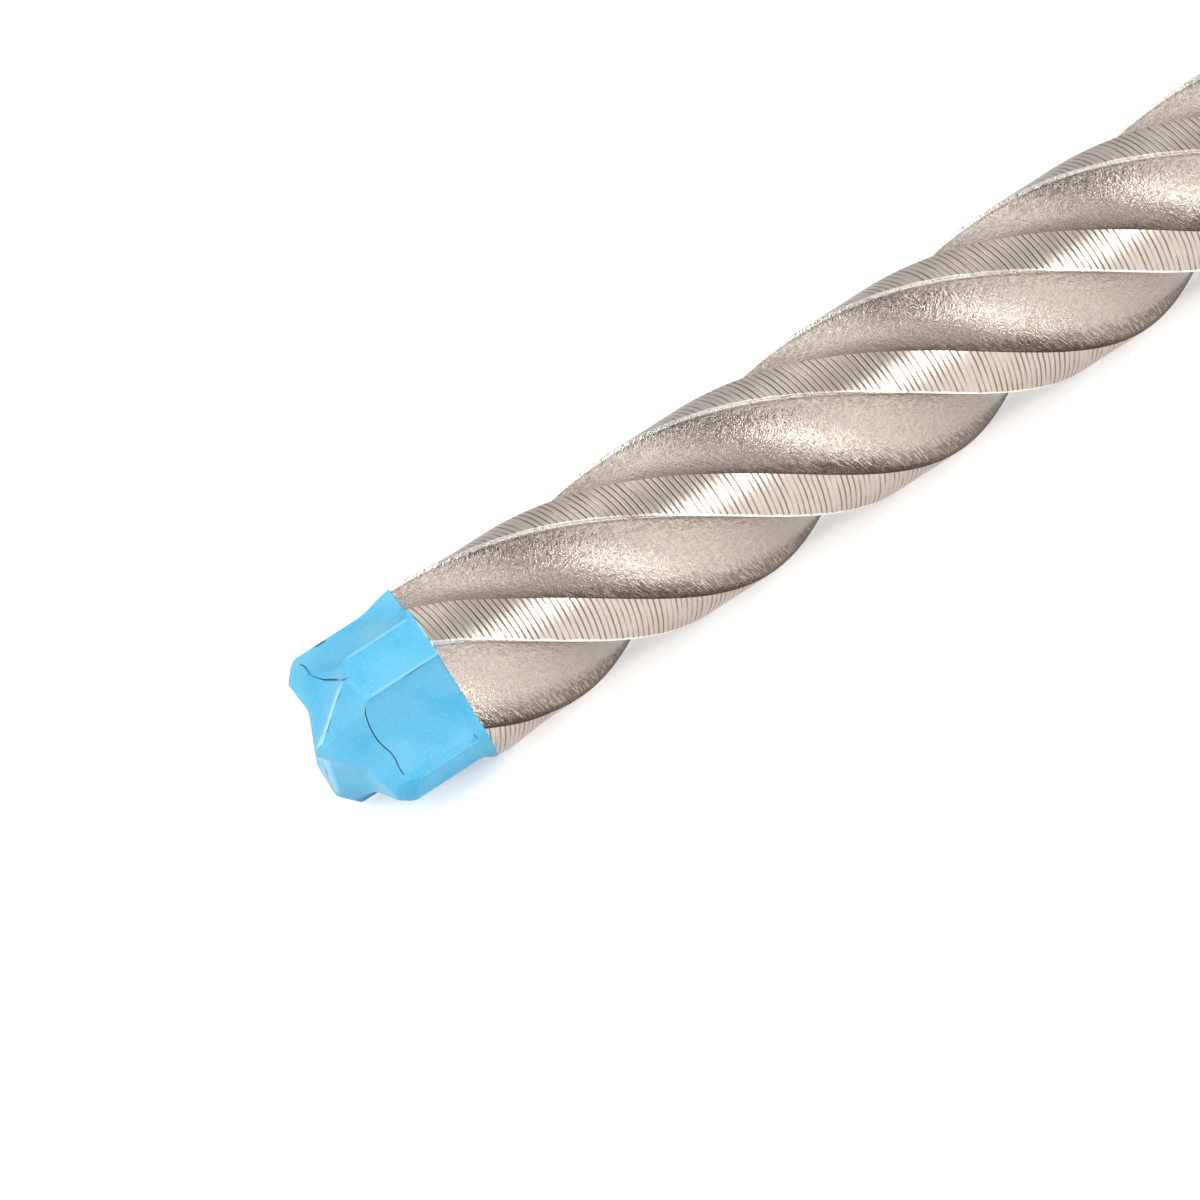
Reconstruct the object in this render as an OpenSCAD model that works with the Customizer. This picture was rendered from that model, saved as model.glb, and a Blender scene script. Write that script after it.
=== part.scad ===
// Masonry drill bit for a rotary hammer: one steel body with a slotted shank and
// four right-hand flutes, and a solid carbide head with four cutting lobes.
// The bit lies on its side: its axis runs along X, the tip points to -X, +Z is up.

/* [Overall] */
// Length over everything, from the rear face to the tip
total_length = 160; // [120:1:310]
// Diameter over the helical lands
flute_d = 10; // [6:0.1:12]
// Diameter over the cutting lobes of the head
head_d = 10.4; // [6.2:0.1:12.6]

/* [Cutting head] */
// Length of the carbide head, from the tip to its joint with the steel
head_length = 6.8; // [4:0.1:12]
// Included angle of the two main cutting edges
point_angle = 143; // [118:1:150]
// Width of a main lobe round the axis, in degrees
main_lobe_angle = 30.5; // [20:0.5:45]
// Width of a secondary lobe round the axis, in degrees
side_lobe_angle = 19; // [12:0.5:40]
// Angle from a lobe's leading wall back to its cutting edge, in degrees
edge_setback_angle = 12; // [4:0.2:16]
// How far the secondary edges lie behind the tip, taken on the axis
side_edge_drop = 1.2; // [0.6:0.02:2]
// Included angle of the two secondary cutting edges
side_point_angle = 167; // [140:1:176]
// Slope of the leading facets of the main edges, in degrees
main_facet_angle = 33; // [24:1:50]
// Slope of the leading facets of the secondary edges, in degrees
side_facet_angle = 24; // [18:1:50]
// Slope of the relief behind a main edge, in degrees
main_relief_angle = 10; // [4:1:17]
// Slope of the relief behind a secondary edge, in degrees
side_relief_angle = 18; // [8:1:30]
// Slope of the back of a main blade across its edge, in degrees
back_angle = 31.5; // [24:0.5:50]
// Slope of the back of a main blade along its edge, in degrees
back_fall_angle = 8.5; // [4:0.5:14]
// Chamfer on the outer corners of the main lobes
corner_chamfer = 0.15; // [0.1:0.05:0.8]
// Chamfer on the outer corners of the secondary lobes
side_corner_chamfer = 0.7; // [0.1:0.05:1.2]
// Depth of the straight grooves between the lobes
groove_depth = 1.65; // [0.8:0.05:2]

/* [Flutes] */
// Distance along the axis for one full turn of a land
lead = 52.3; // [30:0.5:90]
// Width of a helical land round the axis, in degrees
land_angle = 30.5; // [15:0.5:45]
// Depth of a flute below the lands
flute_depth = 1.35; // [0.6:0.05:1.8]
// Height of the small square step on the leading side of a land
land_step = 0.12; // [0.05:0.01:0.3]
// Diameter of the steel just behind the head
flare_d = 10.54; // [6.2:0.02:12.8]
// Length of the flare behind the head
flare_length = 4.5; // [3:0.5:20]
// Distance behind the joint at which the lands would line up with the head's lobes
line_up_length = 1.55; // [0:0.05:6]
// Length behind the joint over which the lands turn a little less than further back
lead_in_length = 3.6; // [1:0.1:6]
// How far the lands stay behind their even helix at the joint, along the axis
lead_in_lag = 0.4; // [0:0.05:1]
// Length over which the flutes run out towards the shank
runout_length = 14; // [6:1:30]
// Length of the plain neck between the collar and the start of the flutes
plain_neck = 2; // [0.5:0.5:6]
// Step from the collar down to the plain neck
neck_step = 0.2; // [0.1:0.05:0.5]

/* [Shank] */
// Diameter of the shank
shank_d = 10; // [8:0.5:14]
// Length of the shank, with its plain collar
shank_length = 60; // [52:1:75]
// Chamfer at the rear end of the shank
rear_chamfer = 0.9; // [0.3:0.1:1.5]
// Chamfer at the front end of the collar
collar_chamfer = 0.4; // [0.2:0.1:1]
// Width of the two open driving slots
slot_width = 3; // [2:0.1:3.6]
// Depth of the two open driving slots
slot_depth = 1.5; // [0.8:0.1:2]
// Length of the two open driving slots, up to where the floor starts to rise
slot_length = 25; // [20:1:34]
// Radius of the cutter that leaves the rounded end of a driving slot
slot_cutter_r = 8; // [4:0.5:12]
// Radius of the two closed pockets for the locking balls
pocket_r = 3.5; // [2.5:0.1:4.5]
// Depth of the two closed pockets
pocket_depth = 1.75; // [1:0.05:2.2]
// Distance from the rear face to the near end of a pocket
pocket_start = 8.5; // [5:0.5:14]
// Length of a pocket
pocket_length = 19; // [12:0.5:26]

/* [Pose] */
// Turn of the whole bit about its own axis as it lies, in degrees
rest_turn = -27.5; // [-180:0.5:180]

/* [Hidden] */

// Starts and lobes
starts = 4;
pitch_angle = 360 / starts;

// How far the fluted part reaches into the collar, and cutting bodies past a face
root_overlap = 0.6;
over = 1;

// Heights along the axis, counted from the rear face
tip_z = total_length;
joint_z = tip_z - head_length;
turn_z = joint_z - line_up_length;
lead_in_z = joint_z - lead_in_length;
flare_z = turn_z - flare_length;
root_z = shank_length - collar_chamfer - root_overlap;
runout_z = shank_length + plain_neck;

// Radii
land_r = flute_d / 2;
head_r = head_d / 2;
flare_r = flare_d / 2;
neck_r = min(land_r, shank_d / 2) - neck_step;

// Height of the axis as the bit lies: it rests on the shank and the lands, with a
// flute of the flared end facing down
axis_height = max(land_r, shank_d / 2);

// Steps of the swept steel section; the first and last points of a flute lie closer
// to the lands than a whole step
steps_per_turn = 48;
land_points = 3;
flute_points = 8;
first_step = 0.15;
last_step = 0.5;

// How full the bottom of a flute is: 0.5 is nearly an ellipse, 1 is a sine wave
flute_power = 0.58;

// Smooth step from 0 to 1 as t goes from a to b
function ease(t, a, b) =
    let (u = min(1, max(0, (t - a) / (b - a)))) u * u * (3 - 2 * u);

// Fall of the flute surface at share t of the flute's width: 0 at a land, 1 at the bottom
function flute_shape(t) = pow(sin(180 * t), flute_power);

// Length of helix between height z and the place where lands and lobes line up
function helix_run(z) =
    turn_z - z + lead_in_lag * pow(max(0, z - lead_in_z) / lead_in_length, 2);

// One quarter of a section, as [angle, radius] pairs: a flute that starts at the leading
// edge of the land before it, then the land that ends at angle 0
function quarter(r, depth, step, land, before) =
    let (flute = pitch_angle - land)
    concat(
        [for (i = [0 : flute_points - 1])
            let (t = (i + first_step) / (flute_points - 1 + first_step + last_step))
            [before + flute * t, r - step * (1 - t) - (depth - step * (1 - t)) * flute_shape(t)]],
        [for (i = [0 : land_points])
            [before + flute + land * i / land_points, r]]);

// Outline of the whole section; lands 0 and 2 have the width main, lands 1 and 3 the width side
function section(r, depth, step, main, side, turn) =
    [for (k = [0 : starts - 1])
        for (p = quarter(r, depth, step, k % 2 == 0 ? main : side, -pitch_angle))
            [p[1] * cos(p[0] + pitch_angle * k + turn), p[1] * sin(p[0] + pitch_angle * k + turn)]];

// Section of the steel at height z
function steel_section(z) =
    let (
        runout = ease(z, runout_z, runout_z + runout_length),
        r = neck_r + (land_r - neck_r) * ease(z, root_z, runout_z + runout_length / 2)
            + (flare_r - land_r) * ease(z, flare_z, turn_z),
        turn = -360 * helix_run(z) / lead)
    section(r, flute_depth * runout, land_step * runout, land_angle, land_angle, turn);

// Heights of the swept sections
helix_step = lead / steps_per_turn;
steel_heights = concat(
    [root_z],
    [for (z = [runout_z : helix_step : joint_z - helix_step / 2]) z],
    [joint_z]);

// Solid through a list of sections that have the same number of points
module sweep(sections, heights) {
    n = len(sections[0]);
    last = len(sections) - 1;
    points = [for (i = [0 : last]) for (p = sections[i]) [p[0], p[1], heights[i]]];
    sides = [for (i = [0 : last - 1]) for (j = [0 : n - 1])
        let (a = i * n + j, b = i * n + (j + 1) % n)
        each [[a, a + n, b], [b, a + n, b + n]]];
    ends = [[for (j = [0 : n - 1]) j], [for (j = [n - 1 : -1 : 0]) last * n + j]];
    polyhedron(points, concat(sides, ends));
}

// Lays a bit that stands on its rear face down on its side
module lying() {
    translate([total_length / 2, 0, axis_height])
        rotate([0, -90, 0])
            rotate([0, 0, rest_turn])
                children();
}

// Helical part of the steel, up to its joint with the head
module fluted_part() {
    sweep([for (z = steel_heights) steel_section(z)], steel_heights);
}

// Open driving slot, with its floor rising on a cutter's arc at the inner end
module driving_slot() {
    floor_r = shank_d / 2 - slot_depth;
    translate([floor_r, -slot_width / 2, -over])
        cube([slot_depth + over, slot_width, slot_length + over]);
    translate([floor_r + slot_cutter_r, slot_width / 2, slot_length])
        rotate([90, 0, 0])
            cylinder(r = slot_cutter_r, h = slot_width, $fn = 96);
}

// Closed pocket for a locking ball, with round ends
module locking_pocket() {
    centre = shank_d / 2 - pocket_depth + pocket_r;
    end_reach = sqrt(pow(pocket_r, 2) - pow(pocket_r - pocket_depth, 2));
    translate([centre, 0, pocket_start + end_reach]) {
        cylinder(r = pocket_r, h = pocket_length - 2 * end_reach, $fn = 64);
        sphere(r = pocket_r, $fn = 64);
        translate([0, 0, pocket_length - 2 * end_reach])
            sphere(r = pocket_r, $fn = 64);
    }
}

// Shank with its chamfered ends
module shank() {
    r = shank_d / 2;
    difference() {
        rotate_extrude($fn = 128)
            polygon([[0, 0], [r - rear_chamfer, 0], [r, rear_chamfer],
                     [r, shank_length - collar_chamfer], [r - collar_chamfer, shank_length],
                     [0, shank_length]]);
        for (side = [0, 180]) {
            rotate([0, 0, side])
                driving_slot();
            rotate([0, 0, side + 90])
                locking_pocket();
        }
    }
}

// Steel body: shank and flutes in one piece
module drill_body() {
    color([0.75, 0.7, 0.65])
        lying()
            union() {
                shank();
                fluted_part();
            }
}

// Half space below a plane through the point p, which falls by x_slope for each
// millimetre along X and by y_slope for each millimetre along Y
module below_plane(p, x_slope, y_slope) {
    size = 6 * head_d;
    translate(p)
        rotate([0, 0, atan2(y_slope, x_slope)])
            rotate([0, atan(norm([x_slope, y_slope])), 0])
                translate([-size / 2, -size / 2, -size])
                    cube(size);
}

// Cone that chamfers the outer corners of blades whose edges start at start_z on the
// axis and fall by edge_fall degrees
module corner_cone(start_z, edge_fall, chamfer) {
    rim = start_z - head_r * tan(edge_fall) - chamfer - joint_z;
    translate([0, 0, joint_z])
        cylinder(h = rim + head_r, r1 = rim + head_r, r2 = 0, $fn = 128);
}

// Roof over one pair of opposite blades, whose edges run out along X from a point on the
// axis at start_z. Each blade lies below planes with the given falls along and across
// its edge, in degrees; the first is the leading facet
module blade_roof(start_z, falls) {
    intersection_for (side = [0, 180], fall = falls)
        rotate([0, 0, side])
            below_plane([0, 0, start_z], tan(fall[0]), tan(fall[1]));
}

// Carbide head: straight grooves, two main edges that meet in the tip, and two
// secondary edges a little behind them
module carbide_head() {
    main_fall = 90 - point_angle / 2;
    side_fall = 90 - side_point_angle / 2;
    side_z = tip_z - side_edge_drop;
    color([0.47, 0.8, 0.93])
        lying()
            intersection() {
                translate([0, 0, joint_z])
                    linear_extrude(head_length)
                        polygon(section(head_r, groove_depth, land_step, main_lobe_angle,
                                        side_lobe_angle, 0));
                union() {
                    rotate([0, 0, -edge_setback_angle])
                        blade_roof(tip_z, [[main_fall, main_facet_angle],
                                           [main_fall, -main_relief_angle],
                                           [back_fall_angle, -back_angle]]);
                    intersection() {
                        rotate([0, 0, pitch_angle - edge_setback_angle])
                            blade_roof(side_z, [[side_fall, side_facet_angle],
                                                [side_fall, -side_relief_angle]]);
                        corner_cone(side_z, side_fall, side_corner_chamfer);
                    }
                }
                corner_cone(tip_z, main_fall, corner_chamfer);
            }
}

drill_body();
carbide_head();
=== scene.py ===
"""Looks of a masonry drill bit that lies on a plain floor.

Everything is in metres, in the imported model's own frame: the bit's axis runs along X, its tip
points to -X and +Z is up. Inside the shape functions a place on the bit is given by its height
above the rear face of the shank and by an angle round the axis, seen as the bit was drawn.
"""

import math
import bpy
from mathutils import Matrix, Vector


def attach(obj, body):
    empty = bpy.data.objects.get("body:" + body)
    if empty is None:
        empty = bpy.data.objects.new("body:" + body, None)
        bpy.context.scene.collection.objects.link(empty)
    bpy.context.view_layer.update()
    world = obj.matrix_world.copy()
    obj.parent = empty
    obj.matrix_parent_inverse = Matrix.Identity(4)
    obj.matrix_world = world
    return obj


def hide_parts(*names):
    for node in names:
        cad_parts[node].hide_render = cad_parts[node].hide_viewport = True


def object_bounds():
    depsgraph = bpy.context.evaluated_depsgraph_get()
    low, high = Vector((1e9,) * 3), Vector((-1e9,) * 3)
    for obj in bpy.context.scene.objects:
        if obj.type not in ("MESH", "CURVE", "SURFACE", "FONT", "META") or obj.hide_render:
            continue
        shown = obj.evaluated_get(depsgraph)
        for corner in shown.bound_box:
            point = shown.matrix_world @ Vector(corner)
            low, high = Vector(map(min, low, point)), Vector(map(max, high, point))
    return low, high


bl_info = {
    "name": "Masonry Drill Bit",
    "version": (1, 0, 0),
    "blender": (4, 5, 0),
    "location": "View3D > Sidebar > Drill Bit",
    "description": "Builds the steel body, the painted carbide head and the stage of a drill bit",
    "category": "Add Mesh",
}

import bmesh
import bpy
import numpy as np
from bpy.props import FloatProperty, FloatVectorProperty, PointerProperty
from mathutils import Matrix, Vector

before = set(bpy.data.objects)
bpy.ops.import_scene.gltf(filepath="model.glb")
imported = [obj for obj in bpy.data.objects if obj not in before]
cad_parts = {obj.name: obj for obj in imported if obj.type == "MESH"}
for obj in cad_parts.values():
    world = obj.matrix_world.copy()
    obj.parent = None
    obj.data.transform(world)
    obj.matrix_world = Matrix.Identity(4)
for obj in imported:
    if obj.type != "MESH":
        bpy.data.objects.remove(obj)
cad_low, cad_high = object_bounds()

MM = 0.001
STARTS = 4
QUARTER = 2 * math.pi / STARTS


def length_of(name, description, millimetres):
    """Length property, with its default given in millimetres."""
    return FloatProperty(
        name=name, description=description, default=millimetres * MM, unit="LENGTH")


def angle_of(name, description, degrees):
    """Angle property, with its default given in degrees."""
    return FloatProperty(
        name=name, description=description, default=math.radians(degrees), subtype="ANGLE")


def number_of(name, description, value):
    """Plain number property."""
    return FloatProperty(name=name, description=description, default=value)


def colour_of(name, description, shade):
    """Colour property."""
    return FloatVectorProperty(
        name=name, description=description, default=shade, subtype="COLOR", min=0, max=1)


class BitSizes(bpy.types.PropertyGroup):
    """Driving sizes of the bit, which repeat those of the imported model."""

    total_length: FloatProperty(
        name="Total length", description="From the rear face to the tip",
        default=cad_high[0] - cad_low[0], unit="LENGTH")
    tip_x: FloatProperty(
        name="Tip", description="Place of the tip along X", default=cad_low[0], unit="LENGTH")
    axis_height: length_of("Axis height", "Height of the bit's axis above the floor", 5)
    rest_turn: angle_of("Rest turn", "Turn of the bit about its own axis as it lies", -27.5)
    head_length: length_of("Head length", "From the tip to the joint with the steel", 6.8)
    head_d: length_of("Head diameter", "Over the cutting lobes", 10.4)
    point_angle: angle_of("Point angle", "Included angle of the main cutting edges", 143)
    side_point_angle: angle_of(
        "Side point angle", "Included angle of the secondary cutting edges", 167)
    main_lobe: angle_of("Main lobe", "Width of a main lobe round the axis", 30.5)
    side_lobe: angle_of("Side lobe", "Width of a secondary lobe round the axis", 19)
    edge_setback: angle_of(
        "Edge setback", "From a lobe's leading wall back to its cutting edge", 12)
    side_edge_drop: length_of(
        "Side edge drop", "How far the secondary edges lie behind the tip", 1.2)
    main_facet: angle_of("Main facet", "Slope of the leading facets of the main edges", 33)
    side_facet: angle_of("Side facet", "Slope of the leading facets of the secondary edges", 24)
    main_relief: angle_of("Main relief", "Slope of the relief behind a main edge", 10)
    side_relief: angle_of("Side relief", "Slope of the relief behind a secondary edge", 18)
    back_angle: angle_of(
        "Back angle", "Slope of the back of a main blade across its edge", 31.5)
    back_fall: angle_of("Back fall", "Slope of the back of a main blade along its edge", 8.5)
    main_chamfer: length_of("Main chamfer", "On the outer corners of the main lobes", 0.15)
    side_chamfer: length_of("Side chamfer", "On the outer corners of the secondary lobes", 0.7)
    groove_depth: length_of(
        "Groove depth", "Depth of the straight grooves between the lobes", 1.65)
    front_tilt: angle_of(
        "Front tilt", "How far the front is ground out of square, along the main edges", 2.2)
    tip_dip: length_of("Tip dip", "How far the main edges dip beside the tip", 0.2)
    rim_round: length_of(
        "Rim rounding", "Rounding of the lobes' outer front corners under the paint", 0.32)
    crease: length_of(
        "Crease softness", "Width over which the paint softens the front's creases", 0.05)
    groove_round: length_of("Groove rounding", "Rounding of the grooves' front edges", 0.05)
    flute_d: length_of("Flute diameter", "Over the helical lands", 10)
    lead: length_of("Lead", "Distance along the axis for one full turn of a land", 52.3)
    land: angle_of("Land", "Width of a helical land round the axis", 30.5)
    flute_depth: length_of("Flute depth", "Depth of a flute below the lands", 1.35)
    flute_power: number_of("Flute fullness", "0.5 is nearly an ellipse, 1 is a sine wave", 0.58)
    land_step: length_of("Land step", "Small square step on the leading side of a land", 0.12)
    flare_d: length_of("Flare diameter", "Diameter of the steel just behind the head", 10.54)
    flare_length: length_of("Flare length", "Length of the flare behind the head", 4.5)
    line_up_length: length_of(
        "Line-up length", "Distance behind the joint where lands and lobes would line up", 1.55)
    lead_in_length: length_of(
        "Lead-in length", "Length behind the joint over which the lands turn a little less", 3.6)
    lead_in_lag: length_of(
        "Lead-in lag", "How far the lands stay behind their even helix at the joint", 0.4)
    runout_length: length_of(
        "Run-out", "Length over which the flutes run out towards the shank", 14)
    plain_neck: length_of("Plain neck", "Between the collar and the start of the flutes", 2)
    neck_step: length_of("Neck step", "Step from the collar down to the plain neck", 0.2)
    paint_start: length_of("Paint length", "From the tip to the paint's edge, on the axis", 8.6)
    paint_slant: number_of("Paint slant", "How steeply the paint's edge runs round the bit", 0.35)
    paint_side: angle_of(
        "Paint side", "Side on which the paint is shortest, from +Z towards +Y", -68.3)
    shank_d: length_of("Shank diameter", "Diameter of the shank", 10)
    shank_length: length_of("Shank length", "With its plain collar", 60)
    rear_chamfer: length_of("Rear chamfer", "At the rear end of the shank", 0.9)
    collar_chamfer: length_of("Collar chamfer", "At the front end of the collar", 0.4)
    slot_width: length_of("Slot width", "Width of the open driving slots", 3)
    slot_depth: length_of("Slot depth", "Depth of the open driving slots", 1.5)
    slot_length: length_of(
        "Slot length", "Up to where a driving slot's floor starts to rise", 25)
    slot_cutter: length_of("Slot cutter", "Radius of the rounded end of a driving slot", 8)
    pocket_r: length_of("Pocket radius", "Radius of the closed pockets", 3.5)
    pocket_depth: length_of("Pocket depth", "Depth of the closed pockets", 1.75)
    pocket_start: length_of("Pocket start", "From the rear face to the near end of a pocket", 8.5)
    pocket_length: length_of("Pocket length", "Length of a closed pocket", 19)


class BitFinish(bpy.types.PropertyGroup):
    """Colours and finishes of the steel and of the paint."""

    steel: colour_of("Steel", "Warm nickel grey of the steel", (0.605, 0.530, 0.466))
    # Also the colour of the painted shade under the lands' trailing edges and of the painted shadow
    # line at the flutes' feet.
    steel_shade: colour_of(
        "Steel in the hollows", "Duller grey in the grain and the scratches",
        (0.205, 0.162, 0.128))
    # Partly wear, partly a painted highlight: the bright strip along each land's trailing edge.
    worn_and_highlit_steel: colour_of(
        "Worn steel", "Bright cream of the lands' worn trailing edges", (0.93, 0.89, 0.83))
    paint: colour_of("Paint", "Light blue lacquer of the head", (0.143, 0.508, 0.724))
    paint_deep: colour_of(
        "Paint where it lies thick", "Fuller blue in the corners", (0.085, 0.444, 0.692))
    # Also the colour of the painted highlights along the head's edges and facets, besides the pale
    # flecks.
    thin_paint_and_highlight: colour_of(
        "Paint where it lies thin", "Paler blue on the ridges", (0.40, 0.73, 0.89))
    # Also the colour of the painted shade in the head's grooves beside the lobes' side edges.
    line: colour_of(
        "Edge line", "Dark line where the paint breaks on a sharp edge", (0.012, 0.035, 0.055))
    hatch_pitch: length_of(
        "Grinding pitch", "Distance between the grinding lines on the lands", 0.33)


class BitStage(bpy.types.PropertyGroup):
    """Camera, lamps and floor."""

    lens_pixels: number_of("Lens", "Focal length in pixels of a 1200 pixel wide picture", 14000)
    camera_tilt: angle_of(
        "Camera tilt", "Angle between the view and the plane square to the axis", 23)
    camera_roll: angle_of("Camera roll", "Angle of the bit's axis in the picture", 32.91)
    facing: angle_of(
        "Facing side", "Angle from +Z towards +Y of the side that faces the camera", -68.3)
    tip_place: FloatVectorProperty(
        name="Tip in the view", description="Tip seen from the camera: right, down and ahead",
        default=(-14.83029 * MM, 8.09093 * MM, 729.21621 * MM), unit="LENGTH")
    floor_colour: colour_of("Floor", "Pale floor", (0.80, 0.80, 0.80))
    world_strength: number_of("World strength", "Even light from all round", 0.55)
    mirror_strength: number_of(
        "Mirrored world", "How bright a reflection sees the surroundings", 0.75)
    room_strength: number_of(
        "Mirrored room", "How bright a reflection sees the unlit parts of the room", 0.05)
    far_room_width: angle_of(
        "Far room width", "Half angle of the unlit part of the room behind the bit", 34)
    near_room_width: angle_of(
        "Near room width", "Half angle of the unlit part of the room by the camera", 50)


def half_chord(radius, depth):
    """Half the length of the cut that a round cutter of a radius leaves when it sinks by depth."""
    return math.sqrt(radius ** 2 - (radius - depth) ** 2)


class Section:
    """Sizes that the shape functions share, worked out once from the driving sizes."""

    def __init__(self, sizes):
        self.s = sizes
        self.tip_z = sizes.total_length
        self.joint_z = self.tip_z - sizes.head_length
        self.turn_z = self.joint_z - sizes.line_up_length
        self.lead_in_z = self.joint_z - sizes.lead_in_length
        self.flare_z = self.turn_z - sizes.flare_length
        self.runout_z = sizes.shank_length + sizes.plain_neck
        self.collar_z = sizes.shank_length - sizes.collar_chamfer
        self.land_r = sizes.flute_d / 2
        self.head_r = sizes.head_d / 2
        self.flare_r = sizes.flare_d / 2
        self.shank_r = sizes.shank_d / 2
        self.neck_r = min(self.land_r, self.shank_r) - sizes.neck_step
        self.joint_depth = self.head_r - self.flare_r + sizes.flute_depth
        self.slot_rise = half_chord(sizes.slot_cutter, sizes.slot_depth)
        self.pocket_reach = half_chord(sizes.pocket_r, sizes.pocket_depth)
        self.pocket_near = sizes.pocket_start + self.pocket_reach
        self.pocket_far = sizes.pocket_start + sizes.pocket_length - self.pocket_reach

    def fluted(self, lane, radius, depth, step):
        """Outline of the helical part, with four equal lands."""
        land = self.s.land
        return lane_outline(lane, radius, depth, step, land, land, self.s.flute_power)

    def lobed(self, lane, depth):
        """Outline of the head, with two main and two secondary lobes."""
        s = self.s
        return lane_outline(lane, self.head_r, depth, s.land_step, s.main_lobe, s.side_lobe,
                            s.flute_power)


def ease(value, start, end):
    """Smooth step from 0 to 1 while value goes from start to end: 3u^2 - 2u^3 of its share u."""
    u = np.clip((value - start) / (end - start), 0, 1)
    return u * u * (3 - 2 * u)


def soft_max(a, b, width):
    """Larger of a and b, with a parabola across the crease where they are closer than width."""
    h = np.clip(0.5 + 0.5 * (a - b) / width, 0, 1)
    return b + (a - b) * h + width * h * (1 - h)


def soft_min(a, b, width):
    """Smaller of a and b, with a parabola across the crease where they are closer than width."""
    return -soft_max(-a, -b, width)


def lane_steps(flute_count, land_count):
    """Lane coordinate of each column of one quarter.

    It runs from 0 to 1 over a flute, spaced as a cosine so that columns crowd at both lands,
    and on from 1 to 2 over the land, from its trailing edge to its leading edge.
    """
    flute = (1 - np.cos(np.linspace(0, math.pi, flute_count))) / 2
    land = 1 + np.linspace(0, 1, land_count + 1)[1:]
    return np.concatenate([flute, land])


STEP_SHARE = 0.015


def lane_outline(lane, radius, depth, step, main, side, power):
    """Angles and radii of a whole section from the lane coordinates of one quarter.

    A flute falls from the land before it by the small step, then by its depth times the sine
    of its share to a power, and climbs back to the next land. Each input after lane may be a
    column with one value for each height. The last column of a quarter is angle 0 of its lobe.
    """
    angles, radii = [], []
    share = np.clip(lane, 0, 1)
    across = np.clip(lane - 1, 0, 1)
    for k in range(STARTS):
        land = main if k % 2 == 0 else side
        angles.append(QUARTER * (k - 1) + (QUARTER - land) * share + land * across)
        slope = step * (1 - share) * ease(share, 0, STEP_SHARE)
        fall = slope + (depth - slope) * np.sin(math.pi * share) ** power
        radii.append(radius - np.where(lane <= 1, fall, 0))
    return np.concatenate(angles, axis=1), np.concatenate(radii, axis=1)


def place(sizes, x, y, height):
    """Lays points of the drawn bit down: the axis runs along X with the tip at -X.

    x and y are across the axis, height is from the rear face. The bit is turned by its rest
    turn about its axis, and its axis is lifted to the axis height.
    """
    c, s = math.cos(sizes.rest_turn), math.sin(sizes.rest_turn)
    rear_x = sizes.tip_x + sizes.total_length
    across, up = x * s + y * c, x * c - y * s
    return np.stack([rear_x - height + 0 * x, across, sizes.axis_height + up], axis=-1)


def grid_faces(rows, columns):
    """Four-sided faces of a grid of rows that close round on themselves, facing outwards."""
    a = np.arange((rows - 1) * columns).reshape(rows - 1, columns)
    right = np.roll(a, -1, axis=1)
    return np.stack([a, right, right + columns, a + columns], axis=-1).reshape(-1, 4)


def grid_corners(values):
    """Values of a grid of points, one for each face corner, with one more column of values to
    close the last face on: each corner repeats the value of its own side of the seam."""
    here, right = values[:, :-1], values[:, 1:]
    corners = np.stack([here[:-1], right[:-1], right[1:], here[1:]], axis=2)
    return corners.reshape(-1, values.shape[-1])


def add_object(name, data):
    """New object with its data, in the scene's own collection."""
    made = bpy.data.objects.new(name, data)
    bpy.context.scene.collection.objects.link(made)
    return made


MERGE_DISTANCE = 0.0005 * MM
SHORTEST_EDGE = 0.0002 * MM


def make_piece(name, points, corner_maps, sharp):
    """Makes a closed mesh from a grid of points whose rows close round on themselves.

    points has one row of points for each step along the piece, and the points of its first
    row are all in one place, as those of its last row are, so that the ends close. corner_maps
    gives UV maps as grids with one more column than points. Edges sharper than the angle sharp
    stay crisp.
    """
    rows, columns = points.shape[:2]
    mesh = bpy.data.meshes.new(name)
    mesh.from_pydata(points.reshape(-1, 3), [], grid_faces(rows, columns))
    for map_name, values in corner_maps.items():
        layer = mesh.uv_layers.new(name=map_name)
        layer.uv.foreach_set("vector", grid_corners(values).astype(np.float32).ravel())
    shell = bmesh.new()
    shell.from_mesh(mesh)
    bmesh.ops.remove_doubles(shell, verts=shell.verts, dist=MERGE_DISTANCE)
    bmesh.ops.dissolve_degenerate(shell, edges=shell.edges, dist=SHORTEST_EDGE)
    bmesh.ops.recalc_face_normals(shell, faces=shell.faces)
    shell.to_mesh(mesh)
    shell.free()
    mesh.shade_smooth()
    mesh.set_sharp_from_angle(angle=sharp)
    return add_object(name, mesh)


FLUTE_COLUMNS = 40
LAND_COLUMNS = 14
QUARTER_COLUMNS = FLUTE_COLUMNS + LAND_COLUMNS
ARC_COLUMNS = 8
WALL_COLUMNS = 4
FLOOR_COLUMNS = QUARTER_COLUMNS - 2 * (ARC_COLUMNS + WALL_COLUMNS)
STEEL_LANE = lane_steps(FLUTE_COLUMNS, LAND_COLUMNS)[None, :]
LEAST_PAINT = 0.02 * MM
NECK_RISE = 0.6 * MM


def lane_twist(part, height):
    """Turn of the lands at a height: one turn for each lead below the place where the lands
    would line up with the head's lobes, with a small lag that grows as a square over the
    lead-in next to the joint."""
    share = np.maximum(height - part.lead_in_z, 0) / part.s.lead_in_length
    return -2 * math.pi * (part.turn_z - height + part.s.lead_in_lag * share ** 2) / part.s.lead


def bridge_share(part, height, twist):
    """How far the paint has drawn the steel's outline over to the head's, from 0 at the paint's
    edge to 1 at the joint, for every column of one row.

    The paint's edge is a slanting plane, so its distance from the tip changes round the bit.
    """
    s = part.s
    angle, radius = part.fluted(STEEL_LANE, part.flare_r, s.flute_depth, s.land_step)
    toward = radius * np.cos(angle + twist + s.rest_turn - s.paint_side)
    edge = np.maximum(s.paint_start - s.paint_slant * toward, s.head_length + LEAST_PAINT)
    return ease(edge - (part.tip_z - height), 0, edge - s.head_length)


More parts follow.
